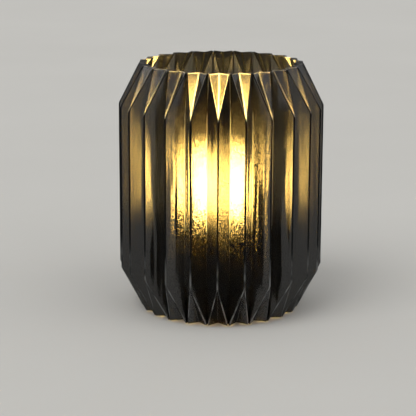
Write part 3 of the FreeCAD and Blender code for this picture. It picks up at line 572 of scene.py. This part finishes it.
def film_levels():
    """Heights of the rows of the film, closer together near the shoulders."""
    rows = []
    for start, end, count in ((LOWER_RIM, LOWER_SHOULDER - 2 * MM, 12),
                              (LOWER_SHOULDER - 1 * MM, LOWER_SHOULDER + 1 * MM, 4),
                              (LOWER_SHOULDER + 3 * MM, UPPER_SHOULDER - 3 * MM, 22),
                              (UPPER_SHOULDER - 1 * MM, UPPER_SHOULDER + 1 * MM, 4),
                              (UPPER_SHOULDER + 2 * MM, UPPER_RIM - 0.7 * MM, 12)):
        rows += [start + (end - start) * number / (count - 1) for number in range(count)]
    return rows + [UPPER_RIM]


def level_normals(points):
    """The outward level normal at each point of a profile that runs counter-clockwise."""
    normals = []
    for index in range(len(points)):
        before = points[max(index - 1, 0)]
        after = points[min(index + 1, len(points) - 1)]
        along = (after - before).normalized()
        normals.append(Vector((along.y, -along.x)))
    return normals


def film_mesh(name, first, last):
    """A panel as a closed thin solid with an outer skin, an inner skin and cut edges."""
    outer, inner = [], []
    marks = {kind: [] for kind in MARKS}
    rows = film_levels()
    for height in rows:
        profile = panel_profile(first, last, height)
        for kind, row_marks in profile.marks.items():
            marks[kind] += row_marks
        for point, normal in zip(profile.points, level_normals(profile.points)):
            place = Vector((*point, height))
            wave = sum(noise.noise(place * fineness) * depth for fineness, depth in WAVES)
            centre = point + normal * (wave - SETBACK)
            outer.append((*(centre + normal * FILM / 2), height))
            inner.append((*(centre - normal * FILM / 2), height))
    columns = len(outer) // len(rows)
    total = len(outer)
    faces = []
    for row in range(len(rows) - 1):
        for column in range(columns - 1):
            a = row * columns + column
            b, c, d = a + 1, a + columns + 1, a + columns
            faces.append((a, b, c, d))
            faces.append((total + a, total + d, total + c, total + b))
    for column in range(columns - 1):
        top = (len(rows) - 1) * columns + column
        faces.append((column, total + column, total + column + 1, column + 1))
        faces.append((top, top + 1, total + top + 1, total + top))
    for row in range(len(rows) - 1):
        start, end = row * columns, row * columns + columns - 1
        faces.append((start, start + columns, total + start + columns, total + start))
        faces.append((end, total + end, total + end + columns, end + columns))
    mesh = bpy.data.meshes.new(name)
    mesh.from_pydata(outer + inner, [], faces)
    mesh.validate()
    mesh.update()
    for kind, values in marks.items():
        mesh.attributes.new(kind, "FLOAT", "POINT").data.foreach_set("value", values + values)
    for polygon in mesh.polygons:
        polygon.use_smooth = True
    return mesh


def weigh_normals(piece):
    """Shade the wide faces flat and let only the rounded creases bend the light."""
    piece.data.set_sharp_from_angle(angle=math.radians(70))
    weighted = piece.modifiers.new("Normals", "WEIGHTED_NORMAL")
    weighted.keep_sharp = True
    weighted.weight = 60


def add_piece(name, mesh, material, body, slot, *replaced):
    piece = bpy.data.objects.new(name, mesh)
    bpy.context.scene.collection.objects.link(piece)
    mesh.materials.append(material)
    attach(piece, body)
    if replaced:
        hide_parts(*replaced)
    return piece


def make_shade(materials):
    for name, first, last in (("shade_panel_front", FIRST_JOINT, SECOND_JOINT),
                              ("shade_panel_rear", SECOND_JOINT, FIRST_JOINT + PLEATS)):
        mesh = film_mesh("folded_" + name, first, last)
        piece = add_piece("folded_" + name, mesh, materials["smoked_film"], "root", "smoked_film", name)
        weigh_normals(piece)


# ---------------------------------------------------------------- stage, light and camera

def make_floor():
    """A plain pale floor with a barely visible mottle."""
    bpy.ops.mesh.primitive_circle_add(vertices=96, radius=9.0, fill_type="NGON", location=(0, 0, -0.0002))
    floor = bpy.context.object
    floor.name = "floor"
    s = Shader("pale_floor")
    mottle = s.noise(0.4, detail=3)
    s.set(Base_Color=s.ramp(mottle, (0.3, (0.58, 0.565, 0.53)), (0.7, (0.60, 0.585, 0.55))), Roughness=0.9,
          Specular_IOR_Level=0.1)
    floor.data.materials.append(s.material)


def make_sun(name, azimuth, elevation, strength, spread):
    """A soft distant light that shines from an azimuth, counted as in the views, and an elevation."""
    lamp = bpy.data.lights.new(name, "SUN")
    lamp.energy = strength
    lamp.angle = math.radians(spread)
    holder = bpy.data.objects.new(name, lamp)
    bpy.context.scene.collection.objects.link(holder)
    a, e = math.radians(azimuth), math.radians(elevation)
    back = Vector((math.sin(a) * math.cos(e), -math.cos(a) * math.cos(e), math.sin(e)))
    holder.rotation_euler = back.to_track_quat("Z", "Y").to_euler()


def make_light():
    world = bpy.data.worlds.new("studio")
    bpy.context.scene.world = world
    world.use_nodes = True
    background = world.node_tree.nodes["Background"]
    background.inputs["Color"].default_value = (0.97, 0.985, 1.0, 1)
    background.inputs["Strength"].default_value = 0.55
    make_sun("key_light", -38, 52, 1.1, 40)
    make_sun("fill_light", 55, 40, 0.5, 60)


def make_camera():
    """The camera of the photograph: a little to the right of the front, looking down on the lamp."""
    place = Vector((0.03753, -1.53333, LOWER_RIM + 0.46868))
    yaw, pitch, roll = 1.862, 13.617, 0.233
    data = bpy.data.cameras.new("camera")
    data.sensor_width = 36.0
    data.lens = 137.81
    camera = bpy.data.objects.new("camera", data)
    bpy.context.scene.collection.objects.link(camera)
    camera.matrix_world = (Matrix.Translation(place) @ Matrix.Rotation(math.radians(yaw), 4, "Z")
                           @ Matrix.Rotation(math.radians(90 - pitch), 4, "X")
                           @ Matrix.Rotation(math.radians(roll), 4, "Z"))
    bpy.context.scene.camera = camera


def main():
    materials = make_materials()
    dress_nodes(materials)
    make_shade(materials)
    make_floor()
    make_light()
    make_camera()
    bpy.context.scene.view_settings.view_transform = "Standard"


main()
